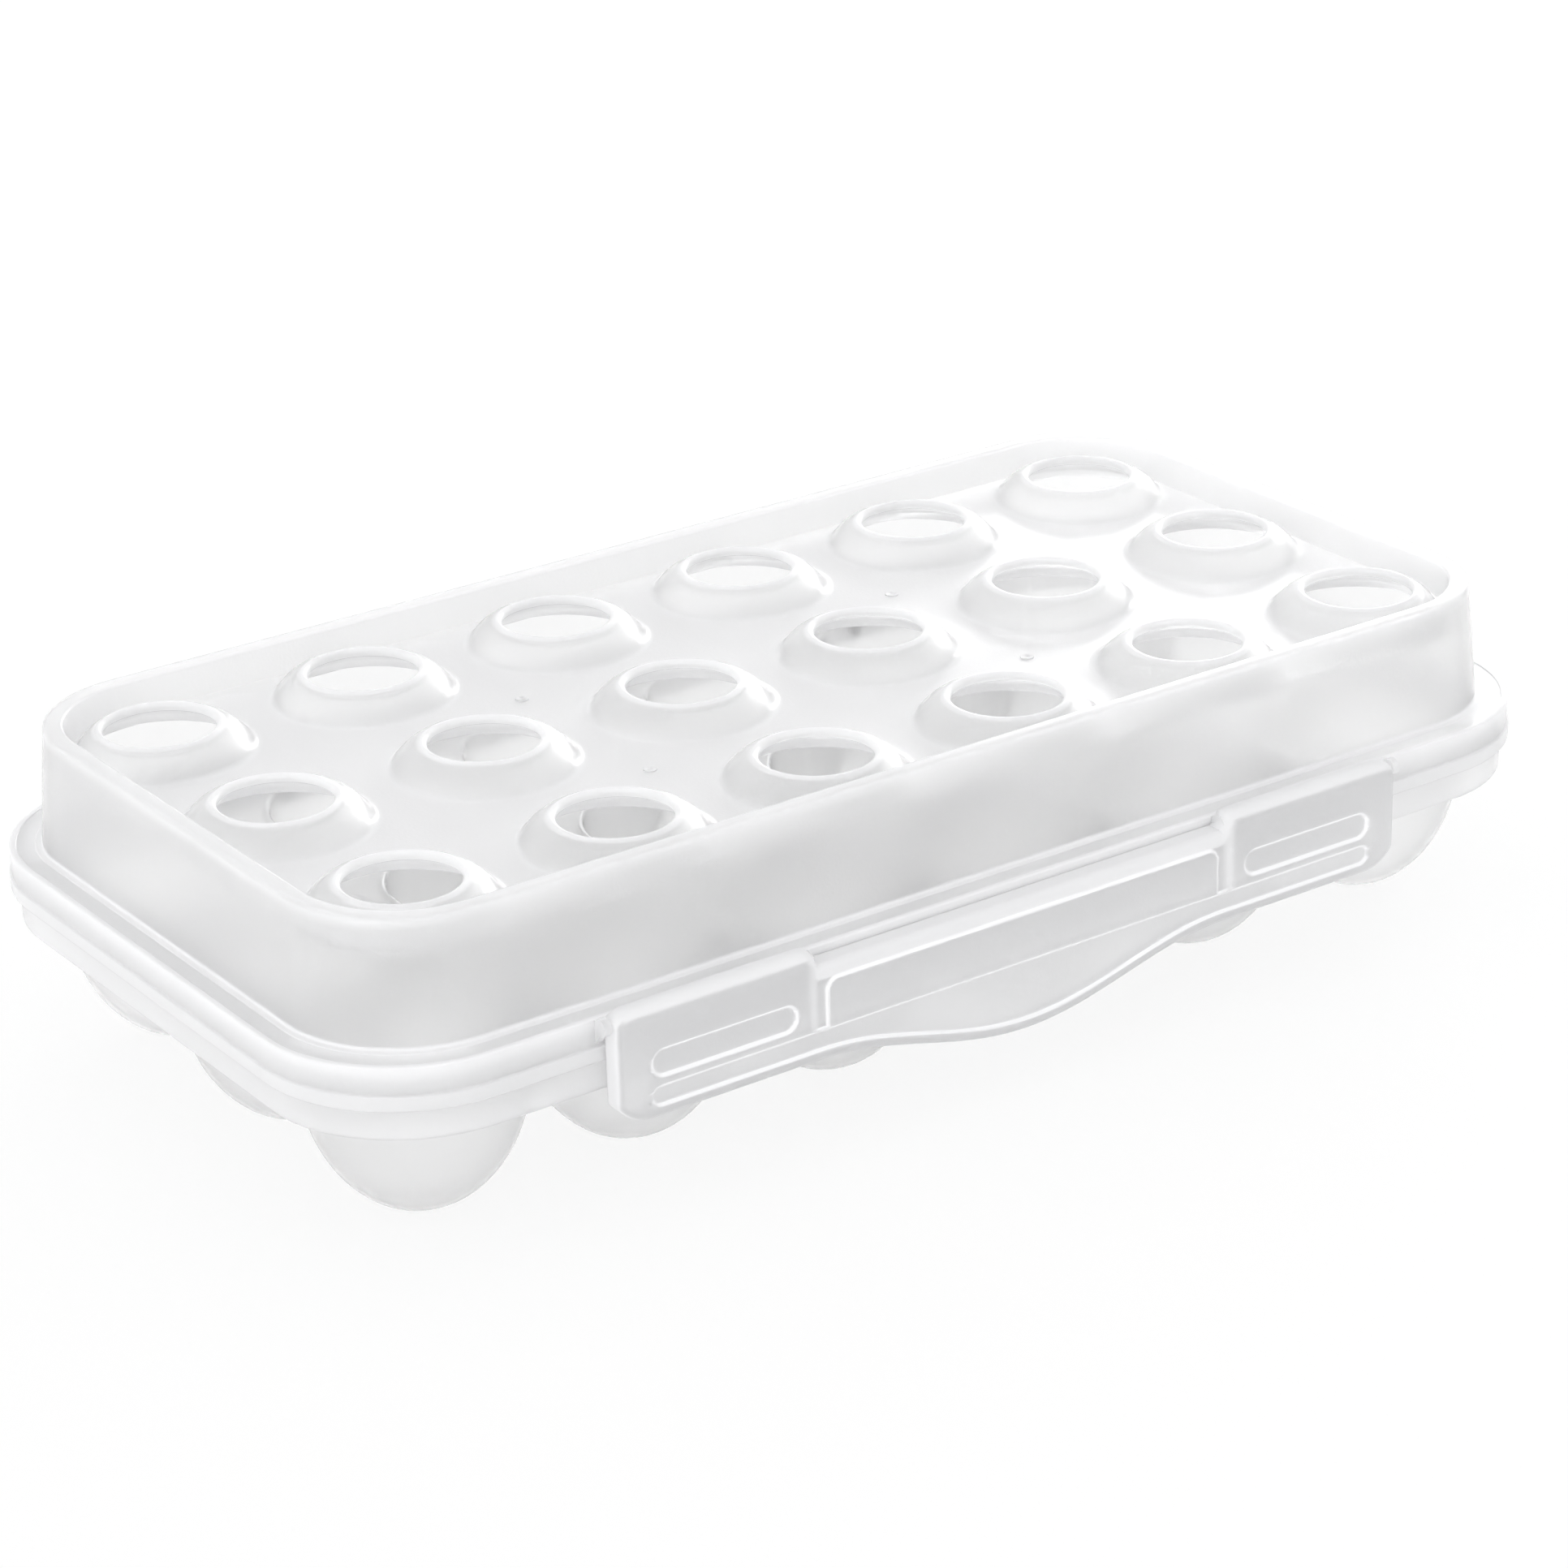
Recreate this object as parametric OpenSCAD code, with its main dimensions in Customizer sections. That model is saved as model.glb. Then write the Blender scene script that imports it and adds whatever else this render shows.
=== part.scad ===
// Egg keeper with a flip lid: a tray of egg cups, a lid that turns on two rear
// hinges, and one long latch that hangs from the lid's front edge.
// The origin is on the table under the middle of the box. +X runs along the
// long side, -Y is the latch side and +Z is up. Sizes are in millimetres.

/* [Egg grid] */
// Rows of cups, from the latch side to the hinge side
rows = 3; // [2:1:4]
// Cups in one row
cols = 6; // [5:1:7]
// Distance between the middles of neighbouring cups
pitch = 50; // [48:1:56]

/* [Tray] */
// Height of the tray's deck above the table
deck_z = 40; // [36:1:46]
// Thickness of the deck between the cups
deck_t = 1.4; // [1:0.1:2]
// Gap between the outsides of neighbouring cups
cup_gap = 2.6; // [1.6:0.1:4]
// Wall thickness of a cup
cup_wall = 1.2; // [0.8:0.1:1.8]
// Straight length of a cup under the deck, above its rounded bottom
cup_neck = 9; // [4:0.5:14]
// Radius of the flat that a cup stands on
foot_r = 4; // [2:0.5:8]
// Wall thickness of the upright band around the tray
band_t = 1.4; // [1:0.1:2]
// How far the band rises above the deck
band_rise = 4.8; // [3:0.1:7]
// How far the band hangs below the deck
band_drop = 10; // [8:0.5:14]

/* [Lid] */
// Height from the lid's ledge to the top of its raised rim
lid_h = 27; // [22:0.5:34]
// Wall thickness of the lid
wall_t = 1.4; // [1:0.1:2]
// How much the lid's wall leans outwards from top to bottom
wall_lean = 2.2; // [1:0.1:3]
// Width of the ledge between the lid's wall and its outer edge
ledge_w = 6.9; // [6:0.1:9]
// Height of the skirt that hangs over the tray's band
skirt_h = 9.5; // [8:0.1:11]
// Thickness of the skirt
skirt_t = 1.2; // [1:0.1:1.8]
// Corner radius of the skirt, the box's largest outline
skirt_corner = 33; // [28:0.5:38]
// Millimetres of corner radius that an outline loses for each one it is set in
corner_step = 0.75; // [0.6:0.05:0.9]
// Width of the raised rim around the lid's top
rim_w = 4; // [3:0.1:6]
// Depth of the lid's top panel below the rim
panel_drop = 8; // [7:0.1:10]

/* [Peephole domes] */
// Radius of a dome where it meets the panel
dome_r = 20.2; // [18:0.1:21]
// Height of a dome above the panel, without its bead
dome_h = 5.3; // [4:0.1:6]
// Radius of the peephole inside its bead
hole_r = 12; // [9:0.1:13]
// Radius of the round bead along the peephole's edge
bead_r = 1.1; // [0.8:0.1:1.4]
// Clear margin between the outer domes and the raised rim
dome_margin = 0.7; // [0.5:0.1:2]

/* [Rear hinges] */
// Distance of each hinge's middle from the end of the box
hinge_from_end = 64; // [52:1:85]
// Width of the lid's hinge knuckle
knuckle_w = 26; // [16:1:34]
// Thickness of each ear that holds the tray's hinge rod
hinge_ear_w = 3; // [2:0.5:4]
// Radius of the tray's hinge rod
hinge_rod_r = 1.5; // [1.2:0.1:1.7]
// Width of the plastic around the hinge rod's ends
hinge_ear_rim = 1.2; // [0.8:0.1:1.3]
// How far the ears reach down the band below the hinge rod
hinge_ear_drop = 6; // [4:0.5:7]

/* [Latch] */
// Distance of the latch's ends from the ends of the box
latch_from_end = 57.5; // [54:0.5:64]
// Length of its middle part, the grip
grip_l = 106; // [90:1:114]
// How far the latch reaches down from the lid's ledge
latch_h = 23; // [22:0.5:25]
// How far the grip's finger lobe hangs below the pads
lobe_d = 9; // [5:0.5:11]
// Thickness of the latch's face
latch_t = 1.6; // [1.2:0.1:2]
// How far the grip's face and the lower recess lie behind the pads' face
grip_inset = 0.6; // [0.3:0.1:1]
// Depth of the grip's top edge below the middle of the latch rods
grip_drop = 0.8; // [0.8:0.1:3]
// Height of the raised edge under the lower recess
edge_h = 2.5; // [1.8:0.1:3.2]
// Height of the lower recess where it runs across a pad
low_recess_h = 4.6; // [3.6:0.1:5]
// Height of the bar between a pad's two recesses
recess_gap = 1.6; // [1:0.1:2.2]
// Height of a pad's upper recess
pad_recess_h = 6.4; // [4:0.1:7]
// Distance of the recesses from the latch's ends
recess_from_end = 7.6; // [6:0.2:10]
// Distance of a pad's upper recess from the barrel's inner end
recess_from_barrel = 3; // [2:0.5:5]
// Radius of the pads' rounded lower corners
pad_corner = 8; // [5:0.5:10]
// Radius of the lid's two latch rods
latch_rod_r = 1.2; // [1:0.1:1.5]
// Thickness of the ears that hold the latch rods
latch_ear_w = 1.6; // [1.2:0.1:2.4]
// Depth of the latch rods below the ledge's top
latch_rod_drop = 1.1; // [0.8:0.1:1.6]
// Width of the plastic around the latch rods' ends
latch_ear_rim = 0.7; // [0.5:0.1:0.9]
// How far the ears reach down the skirt below the latch rods
latch_ear_drop = 4; // [3:0.5:5]

/* [Fits] */
// Distance of the hinge rods outside the skirt's face
pivot_out = 2; // [1.8:0.1:2.6]
// Outer radius of the barrels that turn on the rods
barrel_r = 3.1; // [2.9:0.1:3.3]
// Radial clearance of a rod in its barrel
rod_play = 0.05; // [0.03:0.01:0.1]
// Clearance beside a barrel
side_play = 0.4; // [0.3:0.05:0.6]
// Clearance between the skirt and the band inside it
skirt_gap = 0.5; // [0.4:0.05:0.8]
// Clearance between the ledge and the band under it
seat_gap = 0.3; // [0.2:0.05:0.5]
// Clearance of the latch from the parts that it passes
latch_gap = 0.4; // [0.3:0.05:0.6]

/* [Hidden] */
$fn = 48;
eps = 0.01;
// Far enough to cut right through the box
far = 400;

// Levels from the table up
band_z = deck_z - band_drop;
band_top = deck_z + band_rise;
ledge_under = band_top + seat_gap;
ledge_z = ledge_under + wall_t;
skirt_z = ledge_z - skirt_h;
rim_z = ledge_z + lid_h;
panel_z = rim_z - panel_drop;
panel_under = panel_z - wall_t;

// Half sizes of the skirt's outline, worked out from the grid inside it
grid_l = (cols - 1) * pitch / 2;
grid_w = (rows - 1) * pitch / 2;
rim_in = ledge_w + wall_lean + rim_w;
half_l = grid_l + dome_r + dome_margin + rim_in;
half_w = grid_w + dome_r + dome_margin + rim_in;
// How far each outline is set in from the skirt's
rim_out = ledge_w + wall_lean;
band_out = skirt_t + skirt_gap;
band_in = band_out + band_t;

// A cup's rounded bottom is part of an ellipsoid whose middle is at cup_mid_z
cup_r = (pitch - cup_gap) / 2;
cup_in_r = cup_r - cup_wall;
cup_mid_z = deck_z - cup_neck;
cup_deep = cup_mid_z / sqrt(1 - pow(foot_r / cup_r, 2));
cup_in_deep = cup_mid_z - cup_wall;
cup_steps = 9;

// A dome's side is a quarter of an ellipse that ends over the bead
dome_top_r = hole_r + bead_r;
dome_steps = 6;

// Hinge lines, both along X
hinge_x = half_l - hinge_from_end;
hinge_y = half_w + pivot_out;
hinge_z = skirt_z;
latch_y = -hinge_y;
latch_z = ledge_z - latch_rod_drop;
hinge_ear_r = hinge_rod_r + hinge_ear_rim;
latch_ear_r = latch_rod_r + latch_ear_rim;
hinge_zone = knuckle_w + 2 * side_play + 2 * hinge_ear_w + 2 * side_play;

// The latch, measured from its middle
latch_end = half_l - latch_from_end;
grip_end = grip_l / 2;
barrel_x = grip_end + side_play + latch_ear_w + side_play;
barrel_l = latch_end - barrel_x;
latch_bottom = ledge_z - latch_h;
latch_face = latch_y - barrel_r;
grip_face = latch_face + grip_inset;
grip_top = latch_z - grip_drop;
ear_notch_z = latch_z - latch_ear_r - latch_gap;
lip_y = -(half_w + latch_gap);
lip_t = 1.5;
lobe_steps = 22;
ridge_z = latch_bottom + edge_h + low_recess_h;
panel_edge = 1.6;
panel_top_gap = 3;
catch_y = -(half_w - band_out + latch_gap);
catch_top = band_z - latch_gap;
catch_t = 1.8;

function cup_x(c) = (c - (cols + 1) / 2) * pitch;
function cup_y(r) = (r - (rows + 1) / 2) * pitch;
function corner(inset) = skirt_corner - corner_step * inset;
// Points of an ellipsoid's side from a starting angle at the bottom to its middle
function bowl(r, deep, start) = [
    for (i = [0:cup_steps])
        let (a = start + (90 - start) * i / cup_steps)
            [r * sin(a), cup_mid_z - deep * cos(a)]
];
// Points of a dome's side from its foot, thinner by t for the inner side
function dome_side(t) = [
    for (i = [0:dome_steps])
        let (a = 90 * i / dome_steps)
            [dome_top_r + (dome_r - t - dome_top_r) * cos(a), panel_z + (dome_h - t) * sin(a)]
];
// Lower edge of the grip at a distance x from its middle
function grip_bottom(x) = latch_bottom - lobe_d * (1 + cos(180 * x / grip_end)) / 2;
function grip_edge(lift) = [
    for (i = [0:lobe_steps])
        let (x = grip_end * (1 - 2 * i / lobe_steps)) [x, grip_bottom(x) + lift]
];
function backwards(points) = [for (i = [len(points) - 1:-1:0]) points[i]];

// A block with the box's rounded outline, set in from the skirt's outer face
module outline_block(inset, z0, z1) {
    l = half_l - inset;
    w = half_w - inset;
    r = corner(inset);
    translate([0, 0, z0]) linear_extrude(z1 - z0) {
        square([2 * (l - r), 2 * w], center = true);
        square([2 * l, 2 * (w - r)], center = true);
        for (sx = [-1, 1], sy = [-1, 1]) translate([sx * (l - r), sy * (w - r)]) circle(r);
    }
}

module outline_ring(inset_out, inset_in, z0, z1) {
    difference() {
        outline_block(inset_out, z0, z1);
        outline_block(inset_in, z0 - 1, z1 + 1);
    }
}

// A solid that leans from one inset at z0 to another at z1
module leaning_block(inset0, inset1, z0, z1) {
    hull() {
        outline_block(inset0, z0, z0 + eps);
        outline_block(inset1, z1 - eps, z1);
    }
}

// The square of the grid around one cup; the outer ones run on to the box's edge
module grid_cell(r, c, z0, z1) {
    x0 = c == 1 ? -far : cup_x(c) - pitch / 2;
    x1 = c == cols ? far : cup_x(c) + pitch / 2;
    y0 = r == 1 ? -far : cup_y(r) - pitch / 2;
    y1 = r == rows ? far : cup_y(r) + pitch / 2;
    translate([x0, y0, z0]) cube([x1 - x0, y1 - y0, z1 - z0]);
}

module along_x(length) {
    rotate([90, 0, 90]) linear_extrude(length, center = true) children();
}

// One cell of the tray: a cup and the deck around its mouth
module egg_cup(r, c) {
    color([0.95, 0.93, 0.93]) difference() {
        union() {
            intersection() {
                grid_cell(r, c, deck_z - deck_t, deck_z);
                outline_block(band_in, deck_z - deck_t - 1, deck_z + 1);
            }
            translate([cup_x(c), cup_y(r), 0]) rotate_extrude() polygon(concat(
                [[0, 0]], bowl(cup_r, cup_deep, asin(foot_r / cup_r)),
                [[cup_r, deck_z - deck_t / 2], [0, deck_z - deck_t / 2]]));
        }
        translate([cup_x(c), cup_y(r), 0]) rotate_extrude() polygon(concat(
            bowl(cup_in_r, cup_in_deep, 0), [[cup_in_r, deck_z + 1], [0, deck_z + 1]]));
    }
}

// The upright band around the tray, which the lid's skirt covers
module tray_band() {
    color([0.95, 0.93, 0.93]) outline_ring(band_out, band_in, band_z, band_top);
}

// Two ears and the rod between them, moulded on the tray's back
module tray_hinge(x0) {
    band_y = half_w - band_out;
    span = knuckle_w + 2 * side_play + hinge_ear_w;
    color([0.9, 0.9, 0.93]) translate([x0, 0, 0]) {
        for (s = [-1, 1]) translate([s * span / 2, 0, 0]) difference() {
            along_x(hinge_ear_w) {
                polygon([[band_y, hinge_z - hinge_ear_drop], [hinge_y, hinge_z - hinge_ear_r],
                         [hinge_y, hinge_z + hinge_ear_r], [band_y, hinge_z + hinge_ear_r]]);
                translate([hinge_y, hinge_z]) circle(hinge_ear_r);
            }
            translate([-far / 2, band_y - far, -far / 2]) cube([far, far, far]);
        }
        translate([0, hinge_y, hinge_z]) rotate([0, 90, 0])
            cylinder(r = hinge_rod_r, h = span, center = true);
    }
}

// One cell of the lid's top: a hollow dome with a beaded peephole and its panel
module peephole_dome(r, c) {
    cut_r = hole_r + bead_r * 0.4;
    color([0.93, 0.93, 0.96]) intersection() {
        outline_block(rim_in, panel_under - 1, rim_z + 1);
        union() {
            difference() {
                union() {
                    grid_cell(r, c, panel_under, panel_z);
                    translate([cup_x(c), cup_y(r), 0]) rotate_extrude()
                        polygon(concat([[0, panel_z - wall_t / 2], [dome_r, panel_z - wall_t / 2]],
                                       dome_side(0), [[0, panel_z + dome_h]]));
                }
                translate([cup_x(c), cup_y(r), 0]) rotate_extrude()
                    polygon(concat([[0, panel_under - 1], [dome_r - wall_t, panel_under - 1]],
                                   dome_side(wall_t), [[0, panel_z + dome_h - wall_t]]));
                translate([cup_x(c), cup_y(r), panel_under]) cylinder(r = cut_r, h = 4 * dome_h);
            }
            translate([cup_x(c), cup_y(r), panel_z + dome_h - wall_t / 2])
                rotate_extrude() translate([dome_top_r, 0]) circle(bead_r);
        }
    }
}

// The raised rim that frames the sunken top: a flat cap and its inner wall
module lid_rim() {
    color([0.97, 0.97, 0.99]) {
        outline_ring(rim_out, rim_in, rim_z - wall_t, rim_z);
        outline_ring(rim_in - wall_t, rim_in, panel_under, rim_z - wall_t / 2);
    }
}

module lid_walls() {
    color([0.96, 0.93, 0.92]) difference() {
        leaning_block(ledge_w, rim_out, ledge_z, rim_z - wall_t);
        leaning_block(ledge_w + wall_t, rim_out + wall_t, ledge_z - 2 * eps, rim_z - wall_t + 2 * eps);
    }
}

// The ledge and skirt, with pockets for the latch's barrels and rear notches
module lid_flange() {
    pocket_z = latch_z - barrel_r - latch_gap;
    notch_top = hinge_z + barrel_r + 1.5 * latch_gap;
    pocket_w = barrel_l + 2 * side_play;
    color([0.92, 0.92, 0.95]) difference() {
        outline_block(0, skirt_z, ledge_z);
        outline_block(skirt_t, skirt_z - 1, ledge_under);
        outline_block(ledge_w + wall_t, skirt_z, ledge_z + 1);
        for (s = [-1, 1]) {
            translate([s * (barrel_x + barrel_l / 2) - pocket_w / 2, latch_y - 2 * barrel_r, pocket_z])
                cube([pocket_w, 3 * barrel_r + latch_gap, far]);
            translate([s * hinge_x - hinge_zone / 2, hinge_y - barrel_r - latch_gap, skirt_z - far])
                cube([hinge_zone, 2 * barrel_r, notch_top - skirt_z + far]);
        }
    }
}

// The lid's half of a rear hinge: a barrel that clips over the rod, under a short leaf
module lid_knuckle(x0) {
    leaf_t = pivot_out + hinge_rod_r;
    mouth = 2 * hinge_rod_r * 0.8;
    color([0.9, 0.9, 0.93]) translate([x0, 0, 0]) difference() {
        union() {
            translate([0, hinge_y, hinge_z]) rotate([0, 90, 0])
                cylinder(r = barrel_r, h = knuckle_w, center = true);
            translate([-knuckle_w / 2, half_w, hinge_z]) cube([knuckle_w, leaf_t, skirt_h - wall_t]);
        }
        translate([0, hinge_y, hinge_z]) rotate([0, 90, 0])
            cylinder(r = hinge_rod_r + rod_play, h = knuckle_w + 2, center = true);
        translate([-knuckle_w / 2 - 1, hinge_y - mouth / 2, hinge_z - 2 * barrel_r])
            cube([knuckle_w + 2, mouth, 2 * barrel_r]);
    }
}

// Two ears on the skirt and the rod between them, for one end of the latch
module latch_rod(s) {
    span = barrel_l + 2 * side_play + latch_ear_w;
    color([0.9, 0.9, 0.93]) translate([s * (barrel_x + barrel_l / 2), 0, 0]) {
        for (e = [-1, 1]) translate([e * span / 2, 0, 0]) difference() {
            along_x(latch_ear_w) {
                polygon([[-half_w, latch_z - latch_ear_drop], [latch_y, latch_z - latch_ear_r],
                         [latch_y, ledge_z], [-half_w, ledge_z]]);
                translate([latch_y, latch_z]) circle(latch_ear_r);
            }
            translate([-far / 2, -half_w, -far / 2]) cube([far, far, far]);
        }
        translate([0, latch_y, latch_z]) rotate([0, 90, 0])
            cylinder(r = latch_rod_r, h = span, center = true);
    }
}

// Outline of the right pad in X and Z, drawn smaller by t for the space inside it
module pad_outline(t) {
    r = pad_corner - t;
    x1 = latch_end - t;
    z0 = latch_bottom + t;
    difference() {
        union() {
            translate([grip_end, z0 + r]) square([x1 - grip_end, latch_z - z0 - r]);
            translate([grip_end, z0]) square([x1 - r - grip_end, r]);
            translate([x1 - r, z0 + r]) circle(r);
        }
        translate([grip_end - 1, ear_notch_z]) square([barrel_x - grip_end + 1, far]);
    }
}

// A slot with round ends, from x0 to x1 at height z
module slot_outline(x0, x1, z, h) {
    translate([x0 + h / 2, z - h / 2]) square([x1 - x0 - h, h]);
    for (x = [x0 + h / 2, x1 - h / 2]) translate([x, z]) circle(h / 2);
}

// Extrudes an X-Z drawing from the face at y0 inwards by depth
module face_extrude(y0, depth) {
    translate([0, y0 + depth, 0]) rotate([90, 0, 0]) linear_extrude(depth) children();
}

// The strip along the grip's lower edge
module edge_strip(height) {
    polygon(concat(grip_edge(0), backwards(grip_edge(height))));
}

// One end pad of the latch: its top rolls over the rod, its back is hollow
module latch_pad(s) {
    mouth = 2 * latch_rod_r * 0.8;
    recess_x0 = barrel_x + recess_from_barrel;
    recess_x1 = latch_end - recess_from_end;
    recess_z = ridge_z + recess_gap + pad_recess_h / 2;
    low_z = latch_bottom + edge_h + low_recess_h / 2;
    color([0.9, 0.91, 0.95]) mirror([s < 0 ? 1 : 0, 0, 0]) difference() {
        union() {
            translate([barrel_x, latch_y, latch_z]) rotate([0, 90, 0])
                cylinder(r = barrel_r, h = barrel_l);
            face_extrude(latch_face, latch_t) pad_outline(0);
            difference() {
                face_extrude(latch_face, lip_y - latch_face) pad_outline(0);
                face_extrude(latch_face - 1, far) difference() {
                    pad_outline(lip_t);
                    translate([0, ear_notch_z - lip_t]) square([barrel_x + eps, far]);
                }
                translate([0, latch_y - far, latch_z - barrel_r]) cube([barrel_x + barrel_l - lip_t, far, far]);
                translate([grip_end - 1, latch_y - far, latch_bottom + lip_t])
                    cube([barrel_x - grip_end + 1, 2 * far, far]);
            }
            translate([barrel_x, latch_face, catch_top - catch_t])
                cube([barrel_l - pad_corner, catch_y - latch_face, catch_t]);
        }
        translate([barrel_x - 1, latch_y, latch_z]) rotate([0, 90, 0])
            cylinder(r = latch_rod_r + rod_play, h = barrel_l + 2);
        translate([barrel_x - 1, latch_y - mouth / 2, latch_z - barrel_r - 1])
            cube([barrel_l + 2, mouth, barrel_r + 1]);
        face_extrude(latch_face - 1, 1 + grip_inset)
            slot_outline(recess_x0, recess_x1, recess_z, pad_recess_h);
        face_extrude(latch_face - 1, 1 + grip_inset)
            slot_outline(grip_end - low_recess_h, recess_x1, low_z, low_recess_h);
    }
}

// The middle of the latch: a raised panel, and a finger lobe with a raised edge
module latch_grip() {
    panel_top = grip_top - panel_top_gap;
    color([0.88, 0.89, 0.94]) {
        face_extrude(grip_face, latch_t) polygon(concat(
            [[-grip_end, grip_top], [grip_end, grip_top]], grip_edge(0)));
        face_extrude(latch_face, grip_inset + eps) {
            translate([panel_edge - grip_end, ridge_z]) square([2 * (grip_end - panel_edge), panel_top - ridge_z]);
            edge_strip(edge_h);
        }
        face_extrude(grip_face + latch_t - eps, lip_y - grip_face - latch_t) edge_strip(lip_t);
    }
}

for (r = [1:rows], c = [1:cols])
    egg_cup(r, c);
tray_band();
tray_hinge(-hinge_x);  // tray_hinge_left
tray_hinge(hinge_x);  // tray_hinge_right
for (r = [1:rows], c = [1:cols])
    peephole_dome(r, c);
lid_rim();
lid_walls();
lid_flange();
lid_knuckle(-hinge_x);  // lid_knuckle_left
lid_knuckle(hinge_x);  // lid_knuckle_right
latch_rod(-1);  // latch_rod_left
latch_rod(1);  // latch_rod_right
latch_pad(-1);  // latch_pad_left
latch_pad(1);  // latch_pad_right
latch_grip();
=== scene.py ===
# %% [markdown]
# # An egg keeper with a flip lid
#
# The object is three mouldings of frosted polypropylene: a tray of egg cups, a lid with a peephole over
# each cup, and one long latch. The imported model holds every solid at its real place. This notebook loads
# it as a fixed frame and builds the looks around it: each moulding becomes one smooth closed skin, because
# in see-through plastic the faces between separate solids would show as a grid of lines.

# %% Load the frame
import math

import bmesh
import bpy
import numpy as np
from mathutils import Euler, Matrix, Vector


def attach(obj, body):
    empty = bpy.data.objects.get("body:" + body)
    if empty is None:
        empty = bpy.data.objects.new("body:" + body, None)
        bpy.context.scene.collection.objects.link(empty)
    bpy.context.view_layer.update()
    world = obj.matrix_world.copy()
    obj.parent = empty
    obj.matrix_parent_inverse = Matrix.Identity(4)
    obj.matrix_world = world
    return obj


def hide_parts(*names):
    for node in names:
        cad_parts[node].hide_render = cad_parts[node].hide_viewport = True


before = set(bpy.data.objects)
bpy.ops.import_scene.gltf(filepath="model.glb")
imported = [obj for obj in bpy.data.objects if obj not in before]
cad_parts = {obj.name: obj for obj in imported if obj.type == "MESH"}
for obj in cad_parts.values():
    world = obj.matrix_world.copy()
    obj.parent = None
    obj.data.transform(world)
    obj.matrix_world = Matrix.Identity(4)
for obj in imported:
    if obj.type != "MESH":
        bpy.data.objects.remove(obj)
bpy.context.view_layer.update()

# %% [markdown]
# ## Sizes
# These are the named sizes of the part's source, in millimetres. A skin that replaces solids has to lie
# where they lie, so everything below is worked out from these few numbers, as the source does it.

# %% Sizes in millimetres
ROWS, COLS, PITCH = 3, 6, 50.0
DECK_Z, DECK_T = 40.0, 1.4
CUP_R, CUP_WALL, CUP_MID_Z, FOOT_R = 23.7, 1.2, 31.0, 4.0
BAND_OUT, BAND_T, BAND_Z, BAND_TOP = 1.7, 1.4, 30.0, 44.8
SKIRT_T, SKIRT_Z, LEDGE_Z, LEDGE_UNDER, LEDGE_W = 1.2, 37.0, 46.5, 45.1, 6.9
WALL_T, RIM_OUT, RIM_IN, RIM_Z, PANEL_Z = 1.4, 9.1, 13.1, 73.5, 65.5
DOME_R, DOME_H, HOLE_R, BEAD_R = 20.2, 5.3, 12.0, 1.1
HALF_L, HALF_W, SKIRT_CORNER, CORNER_STEP = 159.0, 84.0, 33.0, 0.75
LATCH_Y, LATCH_Z, BARREL_R = -86.0, 45.4, 3.1
LATCH_END, GRIP_END, BARREL_X, GRIP_TOP = 101.5, 53.0, 55.4, 44.6
LATCH_BOTTOM, LOBE_D, LIP_Y = 23.5, 9.0, -84.4
LATCH_EDGE, LOW_RECESS, RECESS_GAP, PAD_RECESS, RECESS_DEPTH = 2.5, 4.6, 1.6, 6.4, 0.6
BAND_IN = BAND_OUT + BAND_T

# %% [markdown]
# ## Meshes from arrays
# Every surface here is a grid of points, computed as one array. Blender's own primitives could be pushed
# into shape by hand, but a formula gives exact sizes and can be repeated eighteen times. Grids that share
# an edge are welded: points that fall on the same hundredth of a millimetre become one vertex, which
# turns many patches into one closed skin.

# %% Grids, welding and mesh objects
def grid_faces(rows, cols, start=0, closed=False):
    """Quads of a grid of rows x cols points. Closed joins the last column to the first."""
    index = start + np.arange(rows * cols).reshape(rows, cols)
    if closed:
        index = np.hstack([index, index[:, :1]])
    a, b, c, d = index[:-1, :-1], index[:-1, 1:], index[1:, 1:], index[1:, :-1]
    return np.stack([a, b, c, d], -1).reshape(-1, 4)


def weld(patches, step=0.01):
    """Joins (points, quads) patches. Points that round to the same step become one vertex, and quads
    that lose corners become triangles or vanish."""
    starts = np.cumsum([0] + [len(p) for p, _ in patches[:-1]])
    points = np.vstack([p for p, _ in patches])
    faces = np.vstack([q + s for (_, q), s in zip(patches, starts)])
    snapped = np.round(points / step).astype(np.int64)
    _, first, same = np.unique(snapped, axis=0, return_index=True, return_inverse=True)
    return points[first], same.reshape(-1)[faces]


def make_mesh(name, points, faces, sharp=40):
    """A mesh object from points in millimetres and quads. A quad with a repeated corner becomes a
    triangle, normals are turned outwards, and edges bent by more than sharp degrees stay sharp."""
    repeated = faces == np.roll(faces, -1, 1)
    quads = faces[~repeated.any(1)]
    bent = faces[repeated.sum(1) == 1]
    keep = ~(bent == np.roll(bent, -1, 1))
    triangles = bent[keep].reshape(-1, 3)
    mesh = bpy.data.meshes.new(name)
    mesh.from_pydata((points / 1000).tolist(), [], quads.tolist() + triangles.tolist())
    mesh.validate()
    shell = bmesh.new()
    shell.from_mesh(mesh)
    loose = [v for v in shell.verts if not v.link_faces]
    bmesh.ops.delete(shell, geom=loose, context="VERTS")
    bmesh.ops.recalc_face_normals(shell, faces=shell.faces)
    open_edges = sum(not e.is_manifold for e in shell.edges)
    shell.to_mesh(mesh)
    shell.free()
    mesh.shade_smooth()
    mesh.set_sharp_from_angle(angle=math.radians(sharp))
    made = bpy.data.objects.new(name, mesh)
    bpy.context.scene.collection.objects.link(made)
    print(f"{name}: {len(mesh.vertices)} vertices, {len(mesh.polygons)} faces, {open_edges} open edges")
    return made


def finish_piece(piece, body, slot, *nodes):
    """The piece rides on a body and stands for CAD nodes, which it hides. The slot is not used."""
    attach(piece, body)
    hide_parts(*nodes)
    return piece
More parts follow.
